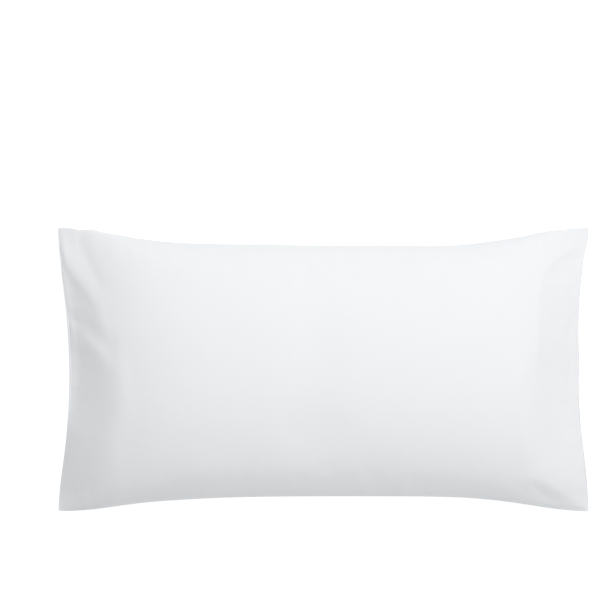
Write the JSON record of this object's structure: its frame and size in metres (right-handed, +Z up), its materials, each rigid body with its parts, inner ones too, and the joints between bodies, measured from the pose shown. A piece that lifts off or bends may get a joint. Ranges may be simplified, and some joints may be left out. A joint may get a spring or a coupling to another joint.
{
  "type": "pillowcase",
  "caption": "Long white pillowcase with its pillow inside, lying flat: crowned face, drawn-in sides, thin corners, end creases and a flat underside.",
  "frame": {"origin": "on the floor, under the middle of the pillowcase's box", "axes": "+X along the length, +Y across the width towards the face's top edge, +Z up out of the face"},
  "size_m": [0.8982, 0.4796, 0.1719],
  "materials": {
    "white_cloth": "soft matt plain weave, slightly cool white"
  },
  "bodies": {
    "root": {"pillowcase": "white_cloth"}
  },
  "joints": []
}
